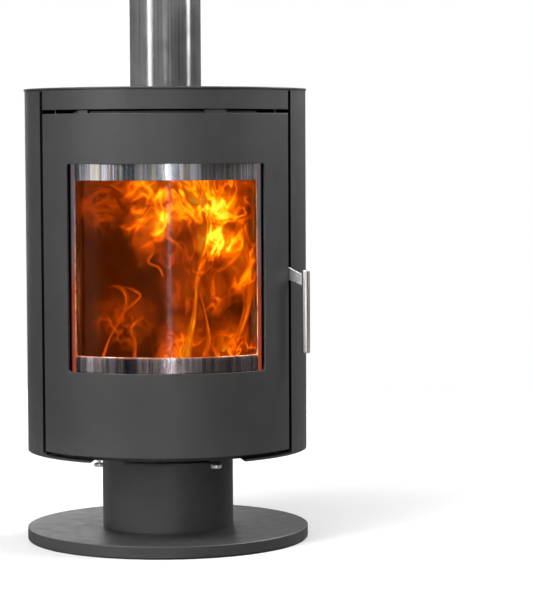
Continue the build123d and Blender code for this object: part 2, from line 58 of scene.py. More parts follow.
class Nodes:
    """A node tree with short calls that add nodes. A value is a constant or a node's output."""

    def __init__(self, tree):
        self.tree = tree

    def feed(self, socket, value):
        """Puts a constant on a socket, or links a node's output to it."""
        if isinstance(value, bpy.types.NodeSocket):
            self.tree.links.new(value, socket)
        else:
            socket.default_value = value

    def add(self, kind, inputs=None, **settings):
        """New node. The keys of inputs are the sockets' names, or their places in the row."""
        node = self.tree.nodes.new("ShaderNode" + kind)
        for key, value in settings.items():
            setattr(node, key, value)
        for key, value in (inputs or {}).items():
            self.feed(node.inputs[key], value)
        return node

    def math(self, operation, *values):
        return self.add("Math", dict(enumerate(values)), operation=operation).outputs["Value"]

    def vector_math(self, operation, *values):
        node = self.add("VectorMath", dict(enumerate(values)), operation=operation)
        return node.outputs["Value" if operation == "LENGTH" else "Vector"]

    def sum(self, result, *others):
        for other in others:
            result = self.math("ADD", result, other)
        return result

    def product(self, result, *others):
        for other in others:
            result = self.math("MULTIPLY", result, other)
        return result

    def split(self, vector):
        """The outputs X, Y and Z of a vector."""
        return self.add("SeparateXYZ", {"Vector": vector}).outputs

    def stretch(self, vector, scale):
        return self.add("Mapping", {"Vector": vector, "Scale": scale}).outputs["Vector"]

    def position(self, scale=(1, 1, 1)):
        return self.stretch(self.add("TexCoord").outputs["Object"], scale)

    def noise(self, scale, detail=3.0, stretch=(1, 1, 1), roughness=0.5, vector=None):
        place = vector or self.position(stretch)
        inputs = {"Vector": place, "Scale": scale, "Detail": detail, "Roughness": roughness}
        return self.add("TexNoise", inputs).outputs["Fac"]

    def ramp(self, source, *stops):
        """Colours for a source, through stops of (place, colour)."""
        node = self.add("ValToRGB", {"Fac": source})
        elements = node.color_ramp.elements
        while len(elements) < len(stops):
            elements.new(0.5)
        for element, (place, colour) in zip(elements, stops):
            element.position = place
            element.color = (*colour, 1)
        return node.outputs["Color"]

    def mix(self, share, first, second, blend="MIX"):
        """The first colour, with a share of the second blended in."""
        inputs = {"Factor": share, "A": first, "B": second}
        return self.add("Mix", inputs, data_type="RGBA", blend_type=blend).outputs["Result"]

    def spread(self, source, low, high, start=0.3, end=0.7):
        """Goes from low to high while the source goes from start to end."""
        inputs = {"Value": source, "From Min": start, "From Max": end, "To Min": low, "To Max": high}
        return self.add("MapRange", inputs).outputs["Result"]

    def between(self, source, rise, fall):
        """Rises from 0 to 1 over one stretch of the source and falls back over another."""
        return self.product(self.spread(source, 0.0, 1.0, *rise), self.spread(source, 1.0, 0.0, *fall))

    def inside(self, source, low, high):
        """1 where the source is between two levels, 0 elsewhere."""
        return self.product(self.math("GREATER_THAN", source, low), self.math("LESS_THAN", source, high))

    def stir(self, vector, scale, amount):
        """The vector pushed about by a coloured noise, which makes what reads it swirl."""
        push = self.add("TexNoise", {"Vector": vector, "Scale": scale, "Detail": 2.0}).outputs["Color"]
        pushed = self.vector_math("MULTIPLY_ADD", push, (amount,) * 3, vector)
        return self.vector_math("SUBTRACT", pushed, (amount / 2,) * 3)

    def strands(self, vector, scale, sharpness, detail=2.0):
        """Thin bright lines along the middle level of a noise."""
        level = self.noise(scale, detail, vector=vector)
        gap = self.math("ABSOLUTE", self.math("SUBTRACT", level, 0.5))
        return self.math("MAXIMUM", self.math("SUBTRACT", 1.0, self.product(gap, sharpness)), 0.0)

    def blob(self, vector, centre, radii):
        """1 in the middle of an ellipsoid, falling smoothly to 0 at its surface."""
        offset = self.vector_math("SUBTRACT", vector, centre)
        reach = self.vector_math("LENGTH", self.vector_math("DIVIDE", offset, radii))
        inputs = {"Value": reach, "From Min": 1.0, "From Max": 0.15}
        return self.add("MapRange", inputs, interpolation_type="SMOOTHSTEP").outputs["Result"]

    def seen_directly(self):
        """1 for what is seen straight or through the glass, 0 for what only lights or is mirrored."""
        path = self.add("LightPath").outputs
        bounces = self.sum(path["Glossy Depth"], path["Diffuse Depth"])
        through_glass = self.product(path["Is Transmission Ray"], self.math("LESS_THAN", bounces, 0.5))
        return self.math("MAXIMUM", path["Is Camera Ray"], through_glass)


class Surface(Nodes):
    """The nodes of a material, with its Principled shader."""

    def __init__(self, name):
        self.material = bpy.data.materials.new(name)
        self.material.use_nodes = True
        super().__init__(self.material.node_tree)
        self.shader = self.tree.nodes["Principled BSDF"]

    def set(self, **values):
        """Gives the shader's sockets their values, with underscores for the spaces in names."""
        for key, value in values.items():
            self.feed(self.shader.inputs[key.replace("_", " ")], value)

    def bump(self, height, strength, distance):
        node = self.add("Bump", {"Height": height, "Strength": strength, "Distance": distance})
        self.set(Normal=node.outputs["Normal"])


# The side panels' folded edges that face the door across the narrow joint, which get painted shade:
# the range of |x| / -y, and the heights between which they lie
SHADED_FOLD_SLOPES = (math.tan(math.radians(58.6)), math.tan(math.radians(60.36)))
SHADED_FOLD_HEIGHTS = (0.165, 0.775)


def stove_paint():
    """Satin anthracite stove paint: fine flake, orange peel, slightly cloudy gloss, painted shade in the
    joints.
    """
    paint = Surface("stove_paint")
    base = paint.ramp(paint.noise(6, 4), (0.3, (0.026, 0.026, 0.027)), (0.7, (0.034, 0.034, 0.035)))
    sparkle = paint.ramp(paint.noise(1800, 2), (0.45, (0.0, 0.0, 0.0)), (0.75, (0.030, 0.030, 0.031)))
    x, y, height = paint.split(paint.position())
    slope = paint.math("DIVIDE", paint.math("ABSOLUTE", x), paint.product(y, -1.0))
    # Painted shade: the folds seen in the joints beside the door are near-black and almost glossless
    fold = paint.product(paint.inside(slope, *SHADED_FOLD_SLOPES), paint.inside(height, *SHADED_FOLD_HEIGHTS))
    paint.set(
        Base_Color=paint.mix(fold, paint.mix(1.0, base, sparkle, "ADD"), (0.002, 0.002, 0.002, 1)),
        Specular_IOR_Level=paint.spread(fold, 0.5, 0.02, 0.0, 1.0),
        Roughness=paint.spread(paint.noise(40, 5), 0.44, 0.54),
        Metallic=0.35,
    )
    paint.bump(paint.noise(900, 3), 0.12, 0.0003)
    return paint.material


def flue_paint():
    """Smooth dark pipe enamel, glossier than the body, with fine upright streaks."""
    paint = Surface("flue_enamel")
    streaks = paint.noise(210, 4, stretch=(1, 1, 0.01))
    tone = paint.sum(paint.product(paint.noise(9, 4), 0.5), paint.product(streaks, 0.5))
    paint.set(
        Base_Color=paint.ramp(tone, (0.38, (0.12, 0.121, 0.124)), (0.62, (0.33, 0.33, 0.335))),
        Roughness=paint.spread(paint.noise(60, 4), 0.12, 0.19),
        Metallic=0.75,
    )
    paint.bump(streaks, 0.06, 0.0004)
    return paint.material


def firebox_coat():
    """Matt black heat-resistant coat, dusty with ash in patches."""
    coat = Surface("firebox_coat")
    dust = coat.noise(22, 6)
    coat.set(
        Base_Color=coat.ramp(dust, (0.4, (0.010, 0.010, 0.010)), (0.72, (0.05, 0.047, 0.043))),
        Roughness=coat.spread(dust, 0.55, 0.85),
        Metallic=0.2,
    )
    coat.bump(coat.noise(700, 4), 0.25, 0.0004)
    return coat.material


def stainless(name, grain, roughness, colour, drawn=0.004):
    """Stainless steel with an upright brushed grain. The smaller drawn is, the longer its lines."""
    steel = Surface(name)
    lines = steel.noise(grain, 4, stretch=(1, 1, drawn), roughness=0.6)
    dark = tuple(channel * 0.86 for channel in colour)
    steel.set(
        Base_Color=steel.ramp(lines, (0.3, dark), (0.7, colour)),
        Roughness=steel.spread(lines, roughness * 0.7, roughness * 1.3),
        Metallic=1.0,
    )
    steel.bump(lines, 0.08, 0.0002)
    return steel.material


def door_glass():
    """Ceramic fire glass: clear, faintly amber, with the slightest film all over."""
    glass = Surface("door_glass")
    film = glass.noise(7, 5, stretch=(1, 1, 0.4))
    glass.set(
        Base_Color=(0.97, 0.96, 0.94, 1),
        Roughness=glass.spread(film, 0.085, 0.10),
        Transmission_Weight=1.0,
        IOR=1.10,
    )
    return glass.material


def polished_frame():
    """Mirror-polished steel with painted reflections: upright streaks in blue, straw and violet."""
    steel = Surface("polished_steel")
    streaks = steel.noise(19, 4, stretch=(1, 1, 0.012), roughness=0.62)
    fine = steel.noise(150, 3, stretch=(1, 1, 0.01))
    # Painted reflections: upright streaks in the base colour stand for the studio mirrored in the steel
    painted_reflections = steel.ramp(
        steel.sum(steel.product(streaks, 0.9), steel.product(fine, 0.1)),
        (0.32, (0.08, 0.075, 0.075)), (0.40, (0.30, 0.34, 0.41)), (0.45, (0.66, 0.61, 0.54)),
        (0.49, (0.24, 0.26, 0.31)), (0.54, (0.78, 0.78, 0.86)), (0.58, (0.38, 0.33, 0.31)),
        (0.64, (0.66, 0.70, 0.78)), (0.72, (0.12, 0.12, 0.14)),
    )
    # In metres: the distance to either side of the middle, and the height above the floor
    x, _, height = steel.split(steel.position())
    across = steel.math("ABSOLUTE", x)
    # The sides beyond the glass edge are dark red-brown
    dark_red_sides = steel.mix(steel.spread(across, 0.0, 1.0, 0.147, 0.154), painted_reflections, (0.16, 0.075, 0.06, 1))
    # The lower band is darker and browner
    low = steel.spread(height, 1.0, 0.0, 0.325, 0.350)
    browned = steel.mix(low, dark_red_sides, (0.46, 0.38, 0.38, 1), "MULTIPLY")
    # Firelight caught by the frame: hot lines along the glass, a dull red band beside them
    edge = steel.product(
        steel.between(across, (0.1500, 0.1510), (0.1514, 0.1530)),
        steel.spread(height, 1.0, 0.25, 0.46, 0.62),
        steel.spread(height, 0.0, 1.0, 0.328, 0.334),
    )
    foot = steel.product(
        steel.between(height, (0.3322, 0.3346), (0.340, 0.345)),
        steel.spread(across, 0.95, 0.0, 0.150, 0.152),
    )
    licked = steel.math("MAXIMUM", edge, foot)
    lit = steel.noise(60, 3)
    hot = steel.ramp(lit, (0.40, (0.85, 0.11, 0.015)), (0.60, (1.0, 0.40, 0.03)))
    high = steel.spread(height, 0.0, 1.0, 0.44, 0.56)
    dull = steel.mix(high, (0.62, 0.10, 0.055, 1), (0.62, 0.55, 0.68, 1))
    warm = steel.spread(height, 0.55, 0.0, 0.42, 0.56)
    grey = steel.spread(height, 0.0, 0.20, 0.46, 0.58)
    band = steel.product(
        steel.between(across, (0.1512, 0.1525), (0.1565, 0.1590)), steel.sum(warm, grey)
    )
    bright = steel.product(licked, steel.spread(lit, 0.45, 1.05))
    steel.set(
        Base_Color=browned,
        Emission_Color=steel.mix(steel.math("MINIMUM", licked, 1.0), dull, hot),
        Emission_Strength=steel.math("MAXIMUM", bright, band),
        Roughness=steel.spread(fine, 0.16, 0.30),
        Metallic=1.0,
    )
    steel.bump(streaks, 0.10, 0.0006)
    return steel.material


def fire_brick():
    """Vermiculite board: flaky golden grit, browned by heat, sooty in places."""
    brick = Surface("vermiculite")
    flakes = brick.add("TexVoronoi", {"Vector": brick.position(), "Scale": 420}).outputs["Distance"]
    grit = brick.ramp(flakes, (0.0, (0.62, 0.42, 0.20)), (0.7, (0.26, 0.15, 0.07)))
    soot = brick.ramp(brick.noise(9, 6), (0.38, (0.16, 0.12, 0.10)), (0.62, (1.0, 1.0, 1.0)))
    brick.set(
        Base_Color=brick.mix(0.8, grit, soot, "MULTIPLY"),
        Roughness=brick.spread(brick.noise(50, 4), 0.8, 0.98),
    )
    brick.bump(flakes, 0.5, 0.0012)
    return brick.material


def cast_iron():
    """Rough cast iron, rusted by heat in patches."""
    iron = Surface("grate_cast_iron")
    rust = iron.noise(35, 6)
    iron.set(
        Base_Color=iron.ramp(rust, (0.4, (0.02, 0.018, 0.017)), (0.75, (0.09, 0.045, 0.025))),
        Roughness=iron.spread(rust, 0.5, 0.85),
        Metallic=0.6,
    )
    iron.bump(iron.noise(500, 5), 0.6, 0.0008)
    return iron.material


def rope_seal():
    """Knitted glass-fibre rope."""
    rope = Surface("knitted_rope")
    inputs = {"Vector": rope.position(), "Scale": 160, "Distortion": 1.5}
    weave = rope.add("TexWave", inputs, wave_type="BANDS", bands_direction="DIAGONAL").outputs["Fac"]
    rope.set(
        Base_Color=rope.ramp(weave, (0.1, (0.02, 0.02, 0.02)), (0.9, (0.12, 0.12, 0.12))),
        Roughness=rope.spread(rope.noise(90, 3), 0.8, 0.95),
    )
    rope.bump(weave, 0.8, 0.001)
    return rope.material


FIRE_COLOURS = (
    (0.00, (0.020, 0.0015, 0.0)),
    (0.22, (0.085, 0.010, 0.0)),
    (0.42, (0.36, 0.035, 0.0)),
    (0.60, (0.92, 0.125, 0.0)),
    (0.76, (1.0, 0.30, 0.001)),
    (0.90, (1.0, 0.55, 0.006)),
    (1.00, (1.0, 0.78, 0.040)),
)

# Where the fire is bright: (centre, radii, strength), in metres
HOT_PLACES = (
    ((0.068, 0.0, 0.580), (0.110, 0.6, 0.062), 1.00),
    ((-0.020, 0.0, 0.562), (0.080, 0.6, 0.060), 0.86),
    ((0.030, 0.0, 0.615), (0.190, 0.6, 0.042), 0.78),
    ((0.088, 0.0, 0.522), (0.070, 0.6, 0.055), 1.00),
    ((-0.036, 0.0, 0.515), (0.034, 0.6, 0.055), 0.60),
    ((0.130, 0.0, 0.500), (0.046, 0.6, 0.130), 0.62),
    ((0.030, 0.0, 0.340), (0.070, 0.6, 0.070), 0.56),
    ((0.112, 0.0, 0.345), (0.070, 0.6, 0.070), 0.54),
    ((0.060, 0.0, 0.440), (0.100, 0.6, 0.090), 0.40),
    ((-0.065, 0.0, 0.385), (0.090, 0.6, 0.080), 0.26),
    ((-0.110, 0.0, 0.590), (0.090, 0.6, 0.080), 0.28),
    ((0.020, 0.0, 0.500), (0.060, 0.6, 0.060), 0.40),
)
# A coil of fine rings in the brightest place
COIL_CENTRE, COIL_RADII = (0.082, 0.0, 0.525), (0.034, 0.6, 0.032)


def glowing(fire, heat, strength):
    """Makes a surface shine in the colours of fire, nearly black underneath."""
    fire.set(
        Base_Color=(0.01, 0.004, 0.002, 1),
        Roughness=1.0,
        Specular_IOR_Level=0.0,
        Emission_Color=fire.ramp(heat, *FIRE_COLOURS),
        Emission_Strength=strength,
    )


def burning_gas(name, shift, size, sharpness):
    """Swirling sheets of burning gas: bright filaments that thicken in the hot places."""
    fire = Surface(name)
    place = fire.stretch(fire.position(), (1, 0, 1))
    shifted = fire.vector_math("ADD", place, (shift, 0.37 * shift, -shift))
    start = fire.stretch(shifted, (1, 1, 0.72))
    stirred = fire.stir(fire.stir(start, 9, 0.105), 21, 0.050)
    broad = fire.strands(stirred, 13 * size, sharpness)
    middle = fire.strands(fire.stir(stirred, 34, 0.024), 26 * size, sharpness * 0.8, 3.0)
    fine = fire.strands(stirred, 70 * size, sharpness * 0.6, 4.0)
    inputs = {
        "Vector": fire.vector_math("SUBTRACT", place, COIL_CENTRE),
        "Scale": 34, "Distortion": 9, "Detail": 3, "Detail Scale": 2.2,
    }
    rings = fire.add("TexWave", inputs, wave_type="RINGS", rings_direction="SPHERICAL").outputs["Fac"]
    lines = fire.sum(
        fire.product(fire.math("POWER", broad, 2.0), 0.50),
        fire.product(fire.math("POWER", middle, 1.6), 0.55),
        fire.product(fine, 0.22),
        fire.product(fire.blob(place, COIL_CENTRE, COIL_RADII), rings, 0.26),
    )
    drifting = fire.stir(place, 11, 0.045)
    bright = 0.0
    for centre, radii, strength in HOT_PLACES:
        bright = fire.math("MAXIMUM", bright, fire.product(fire.blob(drifting, centre, radii), strength))
    cloud = fire.spread(fire.noise(7, 4, vector=stirred), 0.0, 1.0, 0.32, 0.70)
    glow = fire.product(bright, fire.sum(fire.product(lines, 0.66), 0.28))
    haze = fire.product(cloud, fire.sum(fire.product(bright, 0.16), 0.10))
    dim = fire.product(fire.math("POWER", middle, 2.0), 0.10)
    return fire, fire.sum(glow, haze, dim)


def fire_wall():
    """The glow at the back of the fire, with nothing seen through it."""
    fire, heat = burning_gas("fire_wall", 0.0, 0.7, 4.5)
    glowing(fire, fire.sum(fire.product(heat, 0.85), 0.05), 1.0)
    return fire.material


def fire_veil(name, shift, size, sharpness, thinnest, strength):
    """Thinner flames in front of the wall, clear where they are cool."""
    fire, heat = burning_gas(name, shift, size, sharpness)
    glowing(fire, heat, strength)
    fire.set(Alpha=fire.spread(heat, thinnest, 0.92, 0.16, 0.66))
    return fire.material


def tongue(name, base_heat, tip_heat):
    """A single flame: hottest at its foot, its edges and tip fading out."""
    fire = Surface(name)
    spot = fire.add("UVMap", uv_map="UVMap").outputs["UV"]
    across, along, _ = fire.split(spot)
    streaks = fire.noise(1.0, 4, vector=fire.stir(fire.stretch(spot, (5, 2.6, 1)), 1.5, 0.9))
    edge = fire.math("ABSOLUTE", fire.math("SUBTRACT", fire.product(across, 2.0), 1.0))
    middle = fire.math("SUBTRACT", 1.0, fire.math("POWER", edge, 1.6))
    heat = fire.product(
        fire.spread(along, base_heat, tip_heat, 0.0, 1.0),
        fire.spread(middle, 0.62, 1.0, 0.0, 0.9),
        fire.spread(streaks, 0.72, 1.2),
    )
    glowing(fire, heat, 2.3)
    body = fire.product(middle, fire.spread(streaks, 0.06, 0.85, 0.40, 0.60))
    fire.set(Alpha=fire.product(body, fire.spread(along, 1.0, 0.0, 0.72, 1.0)))
    return fire.material


def charred_log():
    """Charcoal with glowing cracks in patches."""
    log = Surface("charred_log")
    inputs = {"Vector": log.stir(log.position(), 20, 0.02), "Scale": 55}
    cracks = log.add("TexVoronoi", inputs, feature="DISTANCE_TO_EDGE").outputs["Distance"]
    alight = log.spread(log.noise(26, 4), 0.0, 0.85, 0.47, 0.62)
    glow = log.product(log.spread(cracks, 1.0, 0.0, 0.0, 0.10), alight)
    log.set(
        Base_Color=log.ramp(log.noise(30, 5), (0.45, (0.012, 0.010, 0.009)), (0.7, (0.16, 0.14, 0.13))),
        Roughness=0.95,
        Emission_Color=log.ramp(glow, *FIRE_COLOURS),
        Emission_Strength=1.2,
    )
    log.bump(cracks, 0.9, 0.004)
    return log.material


PAINT = stove_paint()
ENAMEL = flue_paint()
COAT = firebox_coat()
BRUSHED = stainless("brushed_stainless", 2600, 0.30, (0.72, 0.70, 0.69))
BLADE = stainless("blade_stainless", 900, 0.55, (0.82, 0.82, 0.84), drawn=0.3)
GRIP = stainless("grip_stainless", 2600, 0.30, (0.80, 0.74, 0.70))
POLISHED = polished_frame()
GLASS = door_glass()
SLOT_MATERIALS = {
    "painted_body": PAINT,
    "painted_flue": ENAMEL,
    "firebox_steel": COAT,
    "bright_steel": BRUSHED,
    "polished_trim": POLISHED,
    "fire_brick": fire_brick(),
    "grate_iron": cast_iron(),
    "ceramic_glass": GLASS,
    "rope_seal": rope_seal(),
}


def dress_frame():
    """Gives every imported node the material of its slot, and the handle's blade its own steel."""
    for part in frame["record"]["subparts"]:
        node = nodes[part["node"]]
        for place in node.material_slots:
            place.link = "OBJECT"
            place.material = SLOT_MATERIALS[part["material_slot"]]
    for place in nodes["handle_blade"].material_slots:
        place.material = BLADE


# ------------------------------------------------------------------ shapes


def put(name, data):
    """New object in the scene."""
    made = bpy.data.objects.new(name, data)
    bpy.context.scene.collection.objects.link(made)
    return made


def mesh_from(name, bm):
    mesh = bpy.data.meshes.new(name)
    bm.to_mesh(mesh)
    bm.free()
    return mesh


def polar(radius, angle):
    """Point about the stove's axis, the angle in degrees from the front towards +X."""
    turn = math.radians(angle)
    return (radius * math.sin(turn), -radius * math.cos(turn))


def finish_piece(name, bm, material, body, node=None, bevel=0.0):
    """Turns a bmesh into a smooth piece that rides on a body, with rounded edges if asked."""
    bmesh.ops.remove_doubles(bm, verts=bm.verts, dist=1e-6)
    bmesh.ops.recalc_face_normals(bm, faces=bm.faces)
    mesh = mesh_from(name, bm)
    piece = put(name, mesh)
    mesh.materials.append(material)
    mesh.shade_smooth()
    if bevel:
        rounding = piece.modifiers.new("rounded_edges", "BEVEL")
        rounding.width = bevel
        rounding.segments = 3
        rounding.limit_method = "ANGLE"
        rounding.angle_limit = math.radians(35)
        rounding.harden_normals = True
    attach(piece, body)
    if node:
        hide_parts(node)


COLUMN_WIDTH, NARROWEST = 1.2, 0.05  # degrees
CORNER_COLUMNS = 5


def columns(start, end, hole):
    """Angles of a curved sheet's columns, closer together at the rounded corners of its hole."""
    count = max(2, round((end - start) / COLUMN_WIDTH))
    angles = {round(start + (end - start) * index / count, 5) for index in range(count + 1)}
    if hole:
        reach, corner_angle = hole
        for side in (-1, 1):
            for index in range(CORNER_COLUMNS + 1):
                share = 1 - math.cos(math.pi / 2 * index / CORNER_COLUMNS)
                angles.add(round(side * (reach - corner_angle * share), 5))
        angles = {a for a in angles if a in (start, end) or all(
            abs(a - side * reach) > NARROWEST or abs(abs(a) - reach) < 1e-4 for side in (-1, 1))}
    return sorted(angles)


def curved_sheet(inner, outer, start, end, bottom, top, hole=None):
    """Curved sheet between two radii. hole is (half angle, bottom, top, corner radius)."""
    bm = bmesh.new()
    corner_angle = math.degrees(hole[3] / outer) if hole else 0
    angles = columns(start, end, (hole[0], corner_angle) if hole else None)

    def hole_span(angle):
        reach, low, high, corner = hole
        inset = max(0.0, (abs(angle) - (reach - corner_angle)) / corner_angle)
        lift = corner * (1 - math.sqrt(max(0.0, 1 - min(inset, 1.0) ** 2)))
        return low + lift, high - lift

    made = {}

    def vertex(radius, angle, height):
        key = (radius, round(angle, 5), round(height, 7))
        if key not in made:
            x, y = polar(radius, angle)
            made[key] = bm.verts.new((x, y, height))
        return made[key]

    def column(angle, inside):
        """Heights up one column: the whole sheet, or the parts under and over the hole."""
        if hole and abs(angle) <= hole[0] + 1e-4:
            low, high = hole_span(angle)
            return ([bottom, low], [high, top]) if inside else ([bottom, low, high, top],)
        return ([bottom, top],)

    for radius in (inner, outer):
        for left, right in zip(angles, angles[1:]):
            inside = bool(hole) and abs(left + right) / 2 < hole[0]
            for left_side, right_side in zip(column(left, inside), column(right, inside)):
                loop = [vertex(radius, left, z) for z in left_side]
                loop += [vertex(radius, right, z) for z in reversed(right_side)]
                bm.faces.new(loop)
    matching = {value: key for key, value in made.items()}
    for edge in [e for e in bm.edges if len(e.link_faces) == 1]:
        ends = [matching[v] for v in edge.verts]
        if ends[0][0] == inner:
            continue
        opposite = [made[(inner, angle, height)] for _, angle, height in ends]
        bm.faces.new((edge.verts[0], edge.verts[1], opposite[1], opposite[0]))
    return bm


def lathe(profile, centre, steps):
    """Closed outline of (radius, height) turned about an upright axis."""
    bm = bmesh.new()
    rings = []
    for radius, height in profile:
        if radius == 0:
            rings.append([bm.verts.new((centre[0], centre[1], height))])
            continue
        rings.append([
            bm.verts.new((
                centre[0] + radius * math.cos(2 * math.pi * i / steps),
                centre[1] + radius * math.sin(2 * math.pi * i / steps),
                height,
            ))
            for i in range(steps)
        ])
    for first, second in zip(rings, rings[1:] + rings[:1]):
        if len(first) == 1 and len(second) == 1:
            continue
        for i in range(steps):
            j = (i + 1) % steps
            places = ((first, i), (first, j), (second, j), (second, i))
            corners = [ring[k % len(ring)] for ring, k in places]
            bm.faces.new(list(dict.fromkeys(corners)))
    return bm


def node_heights(node):
    low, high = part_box(node)
    return low.z, high.z


# ------------------------------------------------------------------- pieces


SHEET, DOOR_SHEET = 3 * MM, 4 * MM
# Where the curved sheets start and end, in degrees from the front
DOOR_REACH = 58.3
PANEL_START, FOLD_END, PANEL_END = 60.3, 60.9, 125
# Pane and frame: inner and outer radius, start and end in degrees, bottom and top
PANE = (0.234, 0.2375, -45, 45, 0.300, 0.662)
TRIM = (0.230, 0.2335, -46, 46, 0.296, 0.666)
# The openings in door and frame: half the width in degrees, bottom and top, and the corners' radius
DOOR_HOLE = (42.7, 0.308, 0.6545, 5 * MM)
TRIM_HOLE = (40.4, 0.335, 0.627, 3 * MM)


def painted_shell():
    """The curved sheet-metal panels, with softened edges."""
    door = (-DOOR_REACH, DOOR_REACH, *node_heights("door_panel"))
    bm = curved_sheet(BODY_RADIUS - DOOR_SHEET, BODY_RADIUS, *door, DOOR_HOLE)
    finish_piece("door_skin", bm, PAINT, "door", "door_panel", bevel=0.7 * MM)
    low, high = node_heights("side_panel_right")
    inside = BODY_RADIUS - SHEET
    for side, name in ((1, "right"), (-1, "left")):
        start, end = sorted((side * PANEL_START, side * PANEL_END))
        bm = curved_sheet(inside, BODY_RADIUS, start, end, low, high)
        start, end = sorted((side * PANEL_START, side * FOLD_END))
        fold = curved_sheet(inside - SHEET, inside, start, end, low, high)
        bm.from_mesh(mesh_from("fold", fold))
        panel = f"side_panel_{name}"
        finish_piece(f"side_skin_{name}", bm, PAINT, "stove", panel, bevel=0.6 * MM)
    fascia = (-DOOR_REACH, DOOR_REACH, *node_heights("upper_fascia"))
    bm = curved_sheet(inside, BODY_RADIUS, *fascia)
    finish_piece("fascia_skin", bm, PAINT, "stove", "upper_fascia", bevel=0.6 * MM)


def window_pieces():
    """The curved pane, and the polished frame behind it."""
    bm = curved_sheet(*PANE)
    finish_piece("glass_pane", bm, GLASS, "door", "window_glass", bevel=0.4 * MM)
    bm = curved_sheet(*TRIM, TRIM_HOLE)
    finish_piece("trim_frame", bm, POLISHED, "door", "window_trim", bevel=0.8 * MM)


def flue_pipe():
    """Pipe with a rounded shoulder and a rolled lip on its socket."""
    corner_low, corner_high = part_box("flue_pipe")
    centre = (0, (corner_low.y + corner_high.y) / 2)
    low, high = corner_low.z, corner_high.z
    shoulder = high - 50 * MM
    bore, outside, wall = 61.5 * MM, 63 * MM, 1.5 * MM
    socket_bore, socket = 63.6 * MM, 65.1 * MM
    profile = [(bore, low + 3 * MM), (bore, low), (outside - 0.3 * MM, low), (outside, low + 0.3 * MM)]
    profile += [(outside, low + 2 * MM), (outside, shoulder - 10 * MM), (outside, shoulder - 5 * MM)]
    profile += [
        (outside + (socket - outside) * t * t * (3 - 2 * t), shoulder - 5 * MM + 6 * MM * t)
        for t in (0.2, 0.4, 0.6, 0.8, 1.0)
    ]
    profile += [
        (socket - wall / 2 + wall / 2 * math.cos(t), high - wall / 2 + wall / 2 * math.sin(t))
        for t in (0.0, 0.5, 1.0, 1.57, 2.1, 2.6, 3.14)
    ]
    profile += [(socket_bore, shoulder), (bore, shoulder - 4 * MM), (bore, shoulder - 8 * MM)]
    bm = lathe(profile, centre, steps=128)
    finish_piece("flue_tube", bm, ENAMEL, "stove", "flue_pipe")


def handle():
    """Upright bar with rounded ends."""
    low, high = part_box("handle_bar")
    centre = ((low.x + high.x) / 2, (low.y + high.y) / 2)
    radius = (high.x - low.x) / 2
    edge = 1.6 * MM
    turns = [math.pi / 2 * i / 5 for i in range(6)]
    profile = [(0, low.z)]
    profile += [(radius - edge + edge * math.sin(t), low.z + edge - edge * math.cos(t)) for t in turns]
    profile += [(radius - edge + edge * math.cos(t), high.z - edge + edge * math.sin(t)) for t in turns]
    profile += [(0, high.z)]
    bm = lathe(profile, centre, steps=64)
    finish_piece("handle_grip", bm, GRIP, "handle", "handle_bar")


# --------------------------------------------------------------------- fire

# Flames as paths through the firebox: (x, z, half width), in metres, foot first
FLAMES = {
    "left_curl": ((-0.110, 0.322, 0.0035), (-0.097, 0.359, 0.0026), (-0.079, 0.390, 0.0024),
                  (-0.069, 0.415, 0.0045), (-0.071, 0.436, 0.0060), (-0.086, 0.447, 0.0035),
                  (-0.104, 0.444, 0.0008)),
    "left_hook": ((-0.073, 0.404, 0.0012), (-0.059, 0.415, 0.0036), (-0.0445, 0.430, 0.0030),
                  (-0.057, 0.440, 0.0042), (-0.075, 0.447, 0.0012)),
    "left_foot": ((-0.056, 0.320, 0.0040), (-0.054, 0.350, 0.0038), (-0.061, 0.372, 0.0050),
                  (-0.049, 0.388, 0.0050), (-0.032, 0.399, 0.0010)),
    "middle_rise": ((0.028, 0.318, 0.0150), (0.036, 0.352, 0.0090), (0.045, 0.388, 0.0055),
                    (0.049, 0.424, 0.0040), (0.051, 0.455, 0.0055), (0.059, 0.481, 0.0085),
                    (0.066, 0.510, 0.0120), (0.060, 0.540, 0.0040)),
    "middle_thread": ((0.062, 0.326, 0.0040), (0.071, 0.350, 0.0055), (0.067, 0.392, 0.0025),
                      (0.057, 0.433, 0.0020), (0.050, 0.462, 0.0010)),
    "right_sweep": ((0.108, 0.328, 0.0080), (0.121, 0.360, 0.0065), (0.136, 0.404, 0.0080),
                    (0.142, 0.455, 0.0110), (0.138, 0.497, 0.0110), (0.120, 0.530, 0.0100),
                    (0.090, 0.550, 0.0030)),
    "right_foot": ((0.094, 0.334, 0.0030), (0.108, 0.354, 0.0075), (0.123, 0.372, 0.0030)),
    "right_inner": ((0.086, 0.470, 0.0030), (0.104, 0.486, 0.0090), (0.112, 0.512, 0.0110),
                    (0.102, 0.540, 0.0060)),
    "drop": ((-0.006, 0.462, 0.0018), (-0.013, 0.477, 0.0030), (-0.031, 0.487, 0.0030),
             (-0.023, 0.508, 0.0070), (-0.032, 0.530, 0.0085), (-0.042, 0.550, 0.0120),
             (-0.022, 0.573, 0.0110), (0.006, 0.594, 0.0050)),
    "upper_left": ((-0.094, 0.619, 0.0012), (-0.070, 0.607, 0.0045), (-0.042, 0.601, 0.0045),
                   (-0.012, 0.591, 0.0020)),
    "diagonal": ((-0.024, 0.549, 0.0020), (0.006, 0.527, 0.0060), (0.034, 0.503, 0.0012)),
    "right_arc": ((0.080, 0.575, 0.0015), (0.112, 0.560, 0.0040), (0.136, 0.532, 0.0040),
                  (0.147, 0.503, 0.0012)),
    "top_ring": ((-0.040, 0.622, 0.0015), (-0.030, 0.606, 0.0035), (-0.008, 0.604, 0.0035),
                 (0.008, 0.614, 0.0015)),
}


